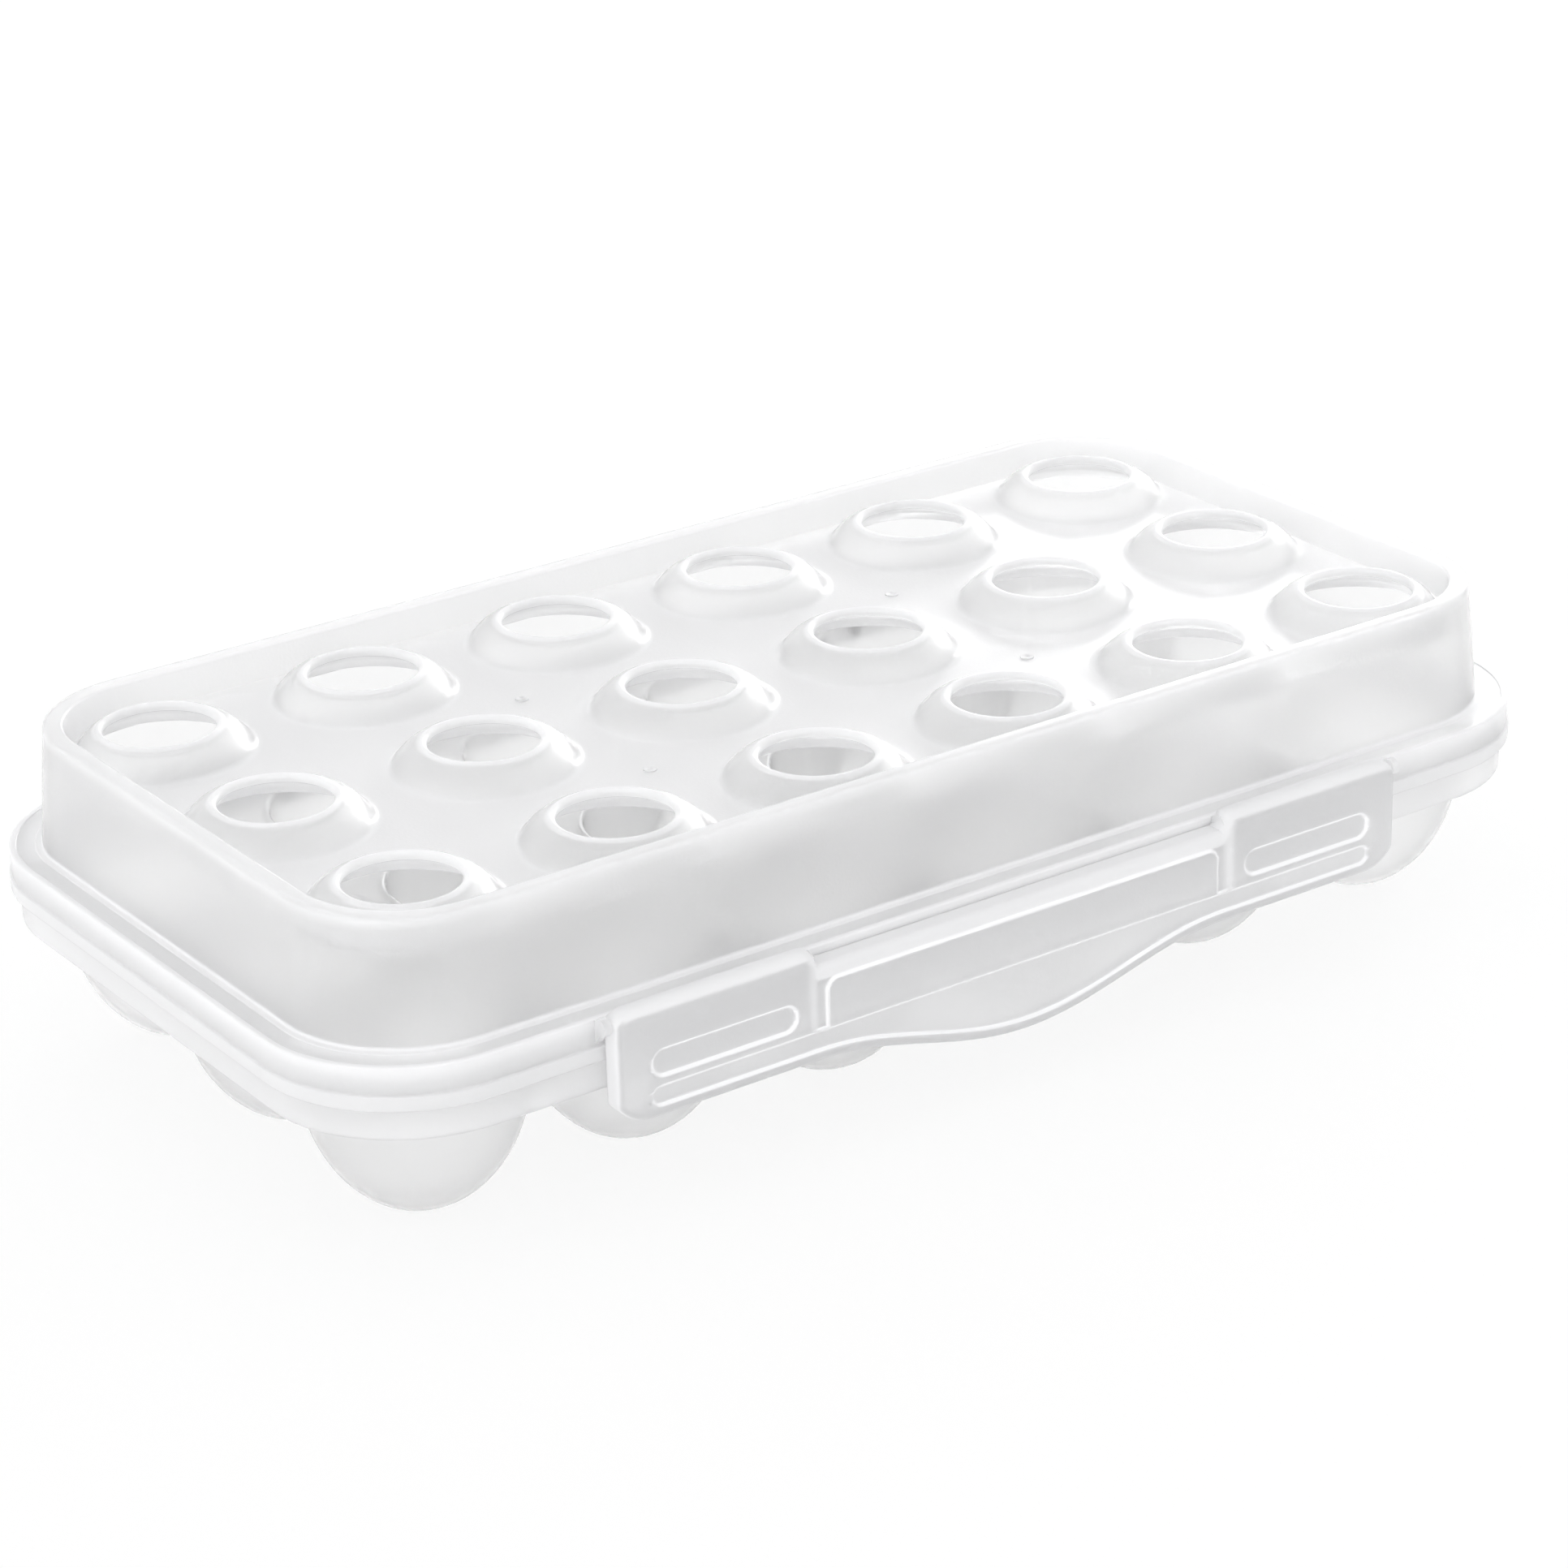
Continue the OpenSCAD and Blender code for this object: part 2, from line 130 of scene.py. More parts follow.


# %% [markdown]
# ## Whiter places: milkiness and painted light
# Where this plastic is thick, folded or seen along its skin, it looks whiter and hides more. One even
# milkiness would lose the beads and edges that draw the object, so every moulding stores a share of extra
# white at its vertices, in an attribute that its material reads. Part of that white is painted light:
# painted highlights along beads, rims, lines and the latch's relief edges, and painted light from above on
# the lid's panel. The share is a function of the place, put together from soft steps, and it moves with the
# mesh when the lid or the latch swings.

# %% Soft steps and the share of white
def ramp(value, start, end):
    """0 before start, 1 after end, and the smooth step 3t^2 - 2t^3 between them."""
    t = np.clip((value - start) / (end - start), 0, 1)
    return t * t * (3 - 2 * t)


def between(value, low, high, soft):
    """1 between low and high and 0 outside, over a soft edge."""
    return ramp(value, low, low + soft) * (1 - ramp(value, high - soft, high))


def whiten(piece, share_of):
    """Stores how much whiter the plastic is at each vertex, as a function of its x, y, z in millimetres."""
    flat = np.empty(3 * len(piece.data.vertices), np.float32)
    piece.data.vertices.foreach_get("co", flat)
    share = share_of(*(1000 * flat.reshape(-1, 3).T)).astype(np.float32)
    piece.data.attributes.new("whiter", "FLOAT", "POINT").data.foreach_set("value", share)
    print(f"{piece.name}: share of extra white from {share.min():.2f} to {share.max():.2f}")


# %% [markdown]
# ## Rounded corners in a section
# Moulded edges are never sharp, because the steel of a mould is cut with a round tool. A section is
# written as its corner points, and each corner is then replaced by a short curve.

# %% Sections
def soften(points, cut, steps=4):
    """Rounds a section's corners. Each corner P is replaced by the curve (1-t)^2 A + 2t(1-t) P + t^2 B,
    where A and B lie cut millimetres before and after P. The two ends stay."""
    points, cut = np.asarray(points, float), np.broadcast_to(cut, len(points) - 2)[:, None]
    before, here, after = points[:-2], points[1:-1], points[2:]
    a = here + (before - here) * np.minimum(cut / np.linalg.norm(before - here, axis=1)[:, None], 0.48)
    b = here + (after - here) * np.minimum(cut / np.linalg.norm(after - here, axis=1)[:, None], 0.48)
    t = np.linspace(0, 1, steps + 1)[None, :, None]
    curve = (1 - t) ** 2 * a[:, None] + 2 * t * (1 - t) * here[:, None] + t**2 * b[:, None]
    return np.vstack([points[:1], curve.reshape(-1, 2), points[-1:]])


# %% [markdown]
# ## The box's outline
# Seen from above, the rim, the wall, the ledge and the band all follow one rounded rectangle, set in by
# different amounts. A curve object with a bevel could carry a section around it, but its corners would not
# meet the grid of cells inside. So a place along the outline is a number from 0 to 8, and a function turns
# it into a point at any inset.

# %% Outline and sweep
def corner(inset):
    """Corner radius of the outline that is set in by inset from the skirt's face."""
    return SKIRT_CORNER - CORNER_STEP * inset


def around(place, inset):
    """Points of the rounded outline at an inset. Place runs from 0 to 8: whole part even for a straight
    side and odd for the corner after it, and the rest is the share of the way along it."""
    place, inset = np.broadcast_arrays(place, inset)
    part, share = np.floor(place).astype(int) % 8, place - np.floor(place)
    r = corner(inset)
    a, b = HALF_L - inset - r, HALF_W - inset - r
    side = part // 2
    turn = np.radians(90 * (side - 1 + share))
    sx, sy = np.where(np.isin(side, (0, 1)), 1, -1), np.where(np.isin(side, (1, 2)), 1, -1)
    bent = np.stack([sx * a + r * np.cos(turn), sy * b + r * np.sin(turn)], -1)
    along = 2 * share - 1
    x = np.choose(side, [a * along, a + r, -a * along, -a - r])
    y = np.choose(side, [-b - r, b * along, b + r, -b * along])
    return np.where((part % 2 == 0)[..., None], np.stack([x, y], -1), bent)


def place_of(points, inset):
    """The place, from 0 to 8, of points that lie on the outline at an inset."""
    x, y = points.T
    r = corner(inset)
    a, b = HALF_L - inset - r, HALF_W - inset - r
    turn = np.degrees(np.arctan2(y - np.sign(y) * b, x - np.sign(x) * a))
    quarters = np.mod(turn + 90, 360) / 90
    at_corner = 1 + 2 * np.floor(quarters + 1e-9) + np.mod(quarters, 1)
    low, high = y <= -b - r + 0.01, y >= b + r - 0.01
    straight = np.where(low, (x / a + 1) / 2, np.where(high, 4 + (1 - x / a) / 2,
                        np.where(x > 0, 2 + (y / b + 1) / 2, 6 + (1 - y / b) / 2)))
    past_both = (np.abs(x) > a + 0.001) & (np.abs(y) > b + 0.001)
    return np.where(past_both, at_corner, np.clip(straight, 0, 7.999))


def inset_of(x, y):
    """How far a point lies inside the skirt's face: the corner radius less the distance past its middle."""
    past = [np.maximum(np.abs(v) - half + SKIRT_CORNER, 0) for v, half in ((x, HALF_L), (y, HALF_W))]
    return SKIRT_CORNER - np.hypot(*past)


def sweep(places, section):
    """The section, points of (inset, z), carried all the way around the outline."""
    flat = around(places[None, :], section[:, :1])
    height = np.broadcast_to(section[:, 1:2, None], flat.shape[:2] + (1,))
    points = np.concatenate([flat, height], -1).reshape(-1, 3)
    return points, grid_faces(len(section), len(places), closed=True)


# %% [markdown]
# ## Cells
# The tray and the lid's top are both a grid of fifty-millimetre cells with something round in the middle
# of each. A cell is one grid of points: one direction goes around, the other runs from the cell's square
# edge inwards to the cup or peephole. The edge points are the same for neighbours, so cells weld.

# %% Cell edges
AROUND = 80
TURN = np.arange(AROUND) * 2 * np.pi / AROUND
RING = np.stack([np.cos(TURN), np.sin(TURN)], -1)
CELLS = [(row, col) for row in range(1, ROWS + 1) for col in range(1, COLS + 1)]


def cell_middle(row, col):
    """The middle of a cell. Rows count from the latch and columns from the left."""
    return np.array([(col - (COLS + 1) / 2) * PITCH, (row - (ROWS + 1) / 2) * PITCH])


def cell_edge(row, col, inset):
    """Edge of a cell, from its middle. A point of the unit square at angle TURN, (cos, sin) divided by
    the larger of the two, is stretched to the cell's reach on each side; at a corner of the box the
    quarter follows the outline's arc instead."""
    middle = cell_middle(row, col)
    reach = np.array([[-middle[0] - HALF_L + inset if col == 1 else -PITCH / 2,
                       HALF_L - inset - middle[0] if col == COLS else PITCH / 2],
                      [-middle[1] - HALF_W + inset if row == 1 else -PITCH / 2,
                       HALF_W - inset - middle[1] if row == ROWS else PITCH / 2]])
    unit = RING / np.abs(RING).max(1)[:, None]
    edge = np.where(unit < 0, -unit * reach[:, 0], unit * reach[:, 1])
    if row in (1, ROWS) and col in (1, COLS):
        sx, sy = (-1 if col == 1 else 1), (-1 if row == 1 else 1)
        r = corner(inset)
        centre = np.array([sx * (HALF_L - inset - r), sy * (HALF_W - inset - r)]) - middle
        toward = RING @ centre
        hit = toward + np.sqrt(np.maximum(toward**2 - centre @ centre + r * r, 0))
        on_arc = RING * hit[:, None]
        past = (sx * (on_arc - centre)[:, 0] >= -1e-6) & (sy * (on_arc - centre)[:, 1] >= -1e-6)
        edge = np.where(past[:, None], on_arc, edge)
    return edge


def outline_places(inset):
    """Places of all cell edge points that lie on the box's outline, in order."""
    found = []
    for row, col in CELLS:
        points = cell_edge(row, col, inset) + cell_middle(row, col)
        places = place_of(points, inset)
        on = np.linalg.norm(around(places, inset) - points, axis=1) < 0.02
        found.append(places[on])
    return np.unique(np.round(np.concatenate(found), 6))


# %% [markdown]
# ## A cell's surface
# A cup or a dome is round, but the cell around it is square, and a cell at the box's corner has one round
# corner. Each ring of the section is a true circle, except where it would cross the cell's edge: there it
# is drawn in.

# %% Cell surfaces
EDGE_GAP = 0.06


def cell_patch(row, col, inset, section, widest):
    """A cell's surface. Section is points of (radius, z) from the cell's edge inwards and back, where a
    radius of None stands for the cell's edge. Round parts wider than the cell allows are drawn in."""
    middle, edge = cell_middle(row, col), cell_edge(row, col, inset)
    reach = np.linalg.norm(edge, axis=1)
    pull = np.minimum(1, (reach - EDGE_GAP - HOLE_R) / (widest - HOLE_R))
    rings = []
    for radius, z in section:
        flat = edge
        if radius is not None:
            drawn = np.where(radius > HOLE_R, HOLE_R + (radius - HOLE_R) * pull, radius)
            flat = RING * drawn[:, None]
        rings.append(np.column_stack([flat + middle, np.full(AROUND, z)]))
    return np.vstack(rings), grid_faces(len(rings), AROUND, closed=True)


# %% [markdown]
# ## Tray
# The tray is one skin: the deck's top runs down into each cup, the deck's underside runs over each cup's
# outside, and the upright band closes the two along the edge. A cup's bottom is half of an ellipsoid, as
# the blunt outside of an egg seat is, with a small flat that it stands on.

# %% Tray
def bowl(radius, deep, start, steps=20):
    """Half of an ellipse from its middle height down to an angle start: radius sin(a), depth cos(a)."""
    a = np.linspace(np.pi / 2, start, steps)
    return np.column_stack([radius * np.sin(a), CUP_MID_Z - deep * np.cos(a)])


MOUTH_R, FOOT_TURN, CUP_IN = CUP_R + 1.6, 0.8, CUP_R - CUP_WALL
DECK_UNDER = DECK_Z - DECK_T
foot_angle = math.asin(FOOT_R / CUP_R)
mouth = soften([(MOUTH_R, DECK_Z), (CUP_IN, DECK_Z), (CUP_IN, CUP_MID_Z)], 1.3)
inside = np.vstack([mouth, bowl(CUP_IN, CUP_MID_Z - CUP_WALL, 0)[1:]])
collar = soften([(MOUTH_R, DECK_UNDER), (CUP_R, DECK_UNDER), (CUP_R, CUP_MID_Z)], 0.9)
cup_base = [(FOOT_R - FOOT_TURN, 0), (0, 0)]
outside = np.vstack([collar, bowl(CUP_R, CUP_MID_Z / math.cos(foot_angle), foot_angle)[1:], cup_base])
tray_inside = [(None, DECK_Z)] + inside.tolist()
tray_outside = [(None, DECK_UNDER)] + outside.tolist()
band = soften([(BAND_IN, DECK_Z), (BAND_IN, BAND_TOP), (BAND_OUT, BAND_TOP), (BAND_OUT, BAND_Z),
               (BAND_IN, BAND_Z), (BAND_IN, DECK_UNDER)], 0.5)
patches = [sweep(outline_places(BAND_IN), band)]
for row, col in CELLS:
    patches.append(cell_patch(row, col, BAND_IN, tray_inside, MOUTH_R))
    patches.append(cell_patch(row, col, BAND_IN, tray_outside, MOUTH_R))
tray = make_mesh("tray", *weld(patches))


def tray_milk_and_painted_highlight(x, y, z):
    """A little white over the band and the deck, and most along the band's foot, where the fold's milkiness
    carries a painted highlight line.
    """
    band_foot = (z > BAND_Z - 1.4) & (z < BAND_Z + 1.2) & (inset_of(x, y) < BAND_IN + 0.1)
    return 0.05 * ramp(z, BAND_Z - 2, BAND_Z) + 0.3 * band_foot


whiten(tray, tray_milk_and_painted_highlight)
egg_cups = [f"egg_cup_{row}_{col}" for row, col in CELLS]
finish_piece(tray, "tray", "tray_plastic", "tray_band", *egg_cups)

# %% [markdown]
# ## Domes and peepholes
# The lid's panel bulges over each cup, and a round bead stiffens the peephole at the top of the bulge. Half
# a sphere would be far too tall. Each cell's section climbs the outside of a low dome, goes over the bead
# and comes back down the inside, so the panel gets its real thickness at once.

# %% Section of a dome
def arc(middle, radius, start, end, steps):
    """Points of a circle around middle from one angle to another, in degrees."""
    a = np.radians(np.linspace(start, end, steps))
    return np.column_stack([middle[0] + radius * np.cos(a), middle[1] + radius * np.sin(a)])


def dome_side(thin, steps=11):
    """A dome's side, thin millimetres inside the outer one: as the radius shrinks evenly from the foot
    to the bead, the height follows the parabola 1 - (1 - u)^2."""
    u = np.linspace(0, 1, steps)
    top = HOLE_R + BEAD_R
    radius = top + (DOME_R - thin - top) * (1 - u)
    return np.column_stack([radius, PANEL_Z + (DOME_H - thin) * (1 - (1 - u) ** 2)])


PANEL_UNDER, DOME_FOOT, INNER_TURN = PANEL_Z - WALL_T, DOME_R + 1.6, 0.3
bead = arc((HOLE_R + BEAD_R, PANEL_Z + DOME_H - WALL_T / 2), BEAD_R, 40, 320, 13)
over = dome_side(0)[1:-2]
under = dome_side(WALL_T)[:-2][::-1]
foot = [(DOME_FOOT, PANEL_Z), (DOME_R + 0.7, PANEL_Z + 0.08), (DOME_R + 0.1, PANEL_Z + 0.3)]
inner_foot = [(DOME_R - WALL_T, PANEL_UNDER + INNER_TURN), (DOME_R - WALL_T + INNER_TURN, PANEL_UNDER)]
peephole = [(None, PANEL_Z)] + foot + over.tolist() + bead.tolist() + under.tolist()
peephole += inner_foot + [(None, PANEL_UNDER)]

# %% [markdown]
# ## Rim, wall, ledge and skirt
# One section holds them all: up from the sunken panel to the raised rim, down the leaning wall, out over
# the ledge with its two fine lines, down the skirt to its thicker hem, and back up the inside. The wall has
# points close to its ends, so that the whiter rim and ledge fade over a few millimetres and not over all
# of the wall.

# %% Section of the rim, wall, ledge and skirt
LEDGE_LINE, GROOVE = 1.3, 0.15
HEM_OUT, HEM_TOP = 0.4, SKIRT_Z + 3.6
RIM_FOOT, WALL_FOOT = RIM_Z - 3.0, LEDGE_Z + 1.2


def wall_inset(z):
    """Inset of the leaning wall's outer face at a height: a straight line from the ledge to the rim."""
    return LEDGE_W + (RIM_OUT - LEDGE_W) * (z - LEDGE_Z) / (RIM_Z - LEDGE_Z)


# Each corner is its inset, its height and how far its rounding reaches.
corners = [
    (RIM_IN, RIM_Z, 0.7), (RIM_OUT, RIM_Z, 1.1), (wall_inset(RIM_FOOT), RIM_FOOT, 0.2),
    (wall_inset(WALL_FOOT), WALL_FOOT, 0.2), (LEDGE_W, LEDGE_Z, 0.5),
    (LEDGE_W - LEDGE_LINE, LEDGE_Z, 0.1), (LEDGE_W - LEDGE_LINE - GROOVE, LEDGE_Z - GROOVE, 0.1),
    (HEM_OUT + LEDGE_LINE + GROOVE, LEDGE_Z - GROOVE, 0.1), (HEM_OUT + LEDGE_LINE, LEDGE_Z, 0.1),
    (HEM_OUT, LEDGE_Z, 0.5), (HEM_OUT, HEM_TOP, 0.2), (0, HEM_TOP - HEM_OUT, 0.2),
    (0, SKIRT_Z, 0.5), (SKIRT_T, SKIRT_Z, 0.4), (SKIRT_T, LEDGE_UNDER, 0.5),
    (LEDGE_W + WALL_T, LEDGE_UNDER, 0.6), (wall_inset(WALL_FOOT) + WALL_T, WALL_FOOT, 0.2),
    (wall_inset(RIM_FOOT) + WALL_T, RIM_FOOT, 0.2), (RIM_OUT + WALL_T, RIM_Z - WALL_T, 0.6),
    (RIM_IN - WALL_T, RIM_Z - WALL_T, 0.4), (RIM_IN - WALL_T, PANEL_UNDER, 0.4)]
rim_points = [(RIM_IN, PANEL_Z), *[(inset, z) for inset, z, _ in corners], (RIM_IN, PANEL_UNDER)]
rim = soften(rim_points, [reach for _, _, reach in corners], steps=3)

# %% [markdown]
# ## The lid's skin and gate marks
# The sections become one closed skin. Four small round marks on the panel are what is left where plastic
# ran into the mould: a low disc with a pit in its middle, turned on a lathe.

# %% Lid
patches = [sweep(outline_places(RIM_IN), rim)]
patches += [cell_patch(row, col, RIM_IN, peephole, DOME_FOOT) for row, col in CELLS]


def turned(profile, x, y):
    """A closed profile of (radius, z) points turned around a vertical line at x, y."""
    profile = np.asarray(profile, float)
    flat = profile[:, None, :1] * RING[None] + np.array([x, y])
    height = np.broadcast_to(profile[:, None, 1:], (len(profile), AROUND, 1))
    points = np.concatenate([flat, height], -1).reshape(-1, 3)
    return points, grid_faces(len(profile), AROUND, closed=True)


GATE_R, GATE_TURN, GATE_PIT = 1.5, 0.1, 0.6
GATE_ROOT, GATE_TOP = PANEL_Z - 0.6, PANEL_Z + 0.35
gate = [(0, GATE_ROOT), (GATE_R, GATE_ROOT), (GATE_R, GATE_TOP - GATE_TURN), (GATE_R - GATE_TURN, GATE_TOP),
        (GATE_PIT, GATE_TOP), (GATE_PIT / 2, PANEL_Z + GATE_TURN), (0, PANEL_Z + GATE_TURN)]
patches += [turned(gate, x, y) for x in (-PITCH, PITCH) for y in (-PITCH / 2, PITCH / 2)]
lid = make_mesh("lid", *weld(patches))

# %% [markdown]
# ## The lid's whiter places and painted light
# The panel is seen along its skin, and it is painted whiter than the walls, which stands in for light from
# above. The beads, the rim, the ledge with its lines and the hem are thick, and they are the whitest; on
# the beads, the rim and the ledge's lines this white is also a painted highlight. The skirt's upper part is
# thin and clearer.

# %% Whiter places of the lid
def in_cell(value, count):
    """How far a coordinate lies from the middle of its own cell, in a row of count cells."""
    return np.mod(value + count * PITCH / 2, PITCH) - PITCH / 2


def lid_milk_and_painted_light(x, y, z):
    """A sum of bands, each 1 on one feature of the lid and 0 elsewhere, times that feature's share. The
    panel's and the top's shares are painted light from above; the beads, the rim and the ledge's lines add
    painted highlights to their thicker plastic's milkiness.
    """
    inset = inset_of(x, y)
    on_bead = np.hypot(in_cell(x, COLS), in_cell(y, ROWS)) < HOLE_R + 2 * BEAD_R
    # The panel's share is painted light from above; the bead's and the rim's are painted highlights over
    # thicker milky plastic.
    panel = (inset > RIM_IN) * (1 - ramp(z, PANEL_Z, PANEL_Z + 1.5))
    bead_milk_and_highlight = on_bead * ramp(z, PANEL_Z + DOME_H - 2.0, PANEL_Z + DOME_H - 1.0)
    rim_milk_and_highlight = ramp(z, RIM_Z - 2.2, RIM_Z - 1.2)
    ledge = 1 - ramp(z, LEDGE_Z + 0.4, LEDGE_Z + 0.9)
    lines = ledge * (z > LEDGE_UNDER) * ((inset < LEDGE_LINE + 0.5) | (inset > LEDGE_W - LEDGE_LINE - 0.1))
    hem = 1 - ramp(z, HEM_TOP - HEM_OUT, HEM_TOP + 0.1)
    top = (inset > RIM_IN) * (z > PANEL_Z)
    skirt = 1 - ramp(z, LEDGE_Z - 2.4, LEDGE_Z - 1.6)
    return (0.33 * panel + 0.06 * top + 0.4 * bead_milk_and_highlight + 0.27 * rim_milk_and_highlight + 0.3 * ledge - 0.15 * skirt
            + 0.3 * lines + 0.22 * hem)


whiten(lid, lid_milk_and_painted_light)
domes = [f"peephole_dome_{row}_{col}" for row, col in CELLS]
finish_piece(lid, "lid", "lid_plastic", "lid_rim", "lid_walls", "lid_flange", *domes)

# %% [markdown]
# ## Latch outline
# The latch is a plate with relief on its face, rolled edges, and tops that hook over the lid's rods. Seen
# from the front it has two pads and a lower grip whose edge hangs down in a lobe for a finger. The two
# edges are functions of x, so a grid between them fits the outline without any trimming.

# %% Edges of the latch
FACE_Y = LATCH_Y - BARREL_R
LATCH_T, EDGE_R = 1.35, 1.5
PAD_CORNER, TOP_CORNER = 8.0, 4.5


def lower_edge(x):
    """Lower outline: a round corner at each end and a cosine lobe in the middle."""
    ax = np.abs(x)
    lobe = LOBE_D * (1 + np.cos(np.pi * np.clip(ax / GRIP_END, 0, 1))) / 2
    past = np.clip(ax - (LATCH_END - PAD_CORNER), 0, PAD_CORNER)
    return LATCH_BOTTOM - lobe + PAD_CORNER - np.sqrt(PAD_CORNER**2 - past**2)


def on_pad(x):
    """0 on the grip and 1 on the end pads, over a soft step of three millimetres."""
    return ramp(np.abs(x), GRIP_END, GRIP_END + 3)


def upper_edge(x):
    """Upper outline: the roll's top on the pads, lower on the grip, round at the ends."""
    past = np.clip(np.abs(x) - (LATCH_END - TOP_CORNER), 0, TOP_CORNER)
    top = GRIP_TOP + (LATCH_Z + BARREL_R - GRIP_TOP) * on_pad(x)
    return top - TOP_CORNER + np.sqrt(TOP_CORNER**2 - past**2)


# %% [markdown]
# ## Relief on the latch
# The face has shallow recesses with round ends and a raised panel. Cutting them with booleans would leave
# sharp edges and ragged faces. Here the depth is a function of x and z, and each step in it is a soft ramp
# less than a millimetre wide, as a mould leaves it.

# %% Relief
def pill(x, z, x0, x1, z0, z1, soft):
    """1 inside a slot with round ends and 0 outside, over a soft edge."""
    r = (z1 - z0) / 2
    dx = np.maximum(0, np.maximum(x0 + r - x, x - x1 + r))
    return 1 - ramp(np.hypot(dx, z - (z0 + z1) / 2), r - soft, r)


RIDGE_Z = LATCH_BOTTOM + LATCH_EDGE + LOW_RECESS
RECESS_END, RECESS_START = LATCH_END - 7.6, BARREL_X + 3
PAD_RECESS_Z = RIDGE_Z + RECESS_GAP
PANEL_END, PANEL_TOP, PANEL_CORNER = GRIP_END - 1.6, GRIP_TOP - 3, 3.0


def relief(x, z):
    """How far the face lies behind its foremost plane. One low recess runs from pad to pad between the
    raised edge and a straight ridge; the grip's upper part is set back around its panel; and each pad
    has a second, shorter recess."""
    ax, r = np.abs(x), LOW_RECESS / 2
    lobe_side = 1 - on_pad(x)
    round_end = np.sqrt(np.maximum(0, r**2 - np.clip(ax - RECESS_END + r, 0, r) ** 2))
    low = np.where(ax > GRIP_END, RIDGE_Z - r - round_end, lower_edge(x) + LATCH_EDGE)
    high = np.where(ax > GRIP_END, RIDGE_Z - r + round_end, RIDGE_Z)
    long_recess = between(z, low, high, 0.45) * (ax < RECESS_END)
    past_end, past_top = ax - PANEL_END + PANEL_CORNER, z - PANEL_TOP + PANEL_CORNER
    past_corner = np.hypot(np.maximum(past_end, 0), np.maximum(past_top, 0))
    panel = 1 - ramp(past_corner, PANEL_CORNER - 0.5, PANEL_CORNER)
    around_panel = lobe_side * ramp(z, RIDGE_Z - 0.1, RIDGE_Z + 0.35) * (1 - panel)
    short_recess = pill(ax, z, RECESS_START, RECESS_END, PAD_RECESS_Z, PAD_RECESS_Z + PAD_RECESS, 0.6)
    return RECESS_DEPTH * np.maximum(np.maximum(long_recess, around_panel), short_recess)


# %% [markdown]
# ## The latch's skin
# The face is a grid between the two edge curves, finer towards the round ends. Its border is then carried
# outwards and back along a quarter circle, which turns into a half circle where the latch hooks over a
# rod. A Solidify modifier gives the skin its thickness, inwards, so the outside stays where it is.

# %% Latch
FACE_STEP = 0.5
ends = LATCH_END - EDGE_R - (PAD_CORNER - EDGE_R) * (1 - np.cos(np.linspace(0, np.pi / 2, 12)))
half = np.concatenate([np.arange(FACE_STEP / 2, ends.min(), FACE_STEP), ends[::-1]])
x_line = np.unique(np.round(np.concatenate([-half, half]), 4))
share = np.linspace(0, 1, 90)[:, None]
low = lower_edge(x_line) + EDGE_R
high = upper_edge(x_line) - EDGE_R - (BARREL_R - EDGE_R) * on_pad(x_line)
face_x = np.broadcast_to(x_line, (len(share), len(x_line)))
face_z = low + (high - low) * share
face = np.stack([face_x, FACE_Y + relief(face_x, face_z), face_z], -1)
border = np.vstack([face[0, :-1], face[:-1, -1], face[-1, :0:-1], face[:0:-1, 0]])
along = np.roll(border, -1, 0) - np.roll(border, 1, 0)
out = np.stack([along[:, 2], np.zeros(len(along)), -along[:, 0]], -1)
out /= np.linalg.norm(out, axis=1)[:, None]
faces_up = ramp(out[:, 2], 0.4, 0.95)
hook = on_pad(border[:, 0]) * ramp(border[:, 2], LATCH_Z - 4, LATCH_Z - 0.5) * faces_up
turn = np.linspace(0, 1, 13)[1:, None]
quarter = np.minimum(turn * 2, 1) * np.pi / 2
flange_out = EDGE_R * np.sin(quarter)
flange_y = EDGE_R * (1 - np.cos(quarter)) + np.clip(turn * 2 - 1, 0, 1) * (LIP_Y - FACE_Y - EDGE_R)
hook_out = BARREL_R * np.sin(turn * np.pi)
hook_y = BARREL_R * (1 - np.cos(turn * np.pi))
go_out = flange_out + (hook_out - flange_out) * hook
go_back = flange_y + (hook_y - flange_y) * hook
rings = border[None] + out[None] * go_out[..., None] + np.array([0, 1, 0]) * go_back[..., None]
rings = np.concatenate([border[None], rings])
latch_skin = [(face.reshape(-1, 3), grid_faces(*face.shape[:2])),
              (rings.reshape(-1, 3), grid_faces(len(rings), len(border), closed=True))]
latch = make_mesh("latch", *weld(latch_skin))


def latch_painted_highlights(x, y, z):
    """Painted highlights: white where the relief is steep, measured over a small step, along the top and
    around the edge.
    """
    step = 0.3
    rise = np.hypot(relief(x + step, z) - relief(x - step, z), relief(x, z + step) - relief(x, z - step))
    front = 1 - ramp(y, FACE_Y + RECESS_DEPTH, FACE_Y + 2 * RECESS_DEPTH)
    top_line = PANEL_TOP + (LATCH_Z + BARREL_R - 1.9 - PANEL_TOP) * on_pad(x)
    steep = np.clip(1.5 * rise / RECESS_DEPTH, 0, 1) * front
    edge = ramp(y, FACE_Y + 0.05, FACE_Y + 0.4) * (front < 1)
    top = ramp(z, top_line - 0.4, top_line)
    return np.maximum(0.5 * steep, 0.3 * np.maximum(top, edge))


whiten(latch, latch_painted_highlights)
finish_piece(latch, "latch", "latch_plastic", "latch_pad_left", "latch_pad_right", "latch_grip")
thick = latch.modifiers.new("thickness", "SOLIDIFY")
thick.thickness, thick.offset = LATCH_T / 1000, -1

# %% [markdown]
# ## Shader maths as Python
# A material is a graph of nodes. Writing it with operators keeps its formula readable: adding or
# multiplying two wrapped sockets adds a Math node behind the scenes.

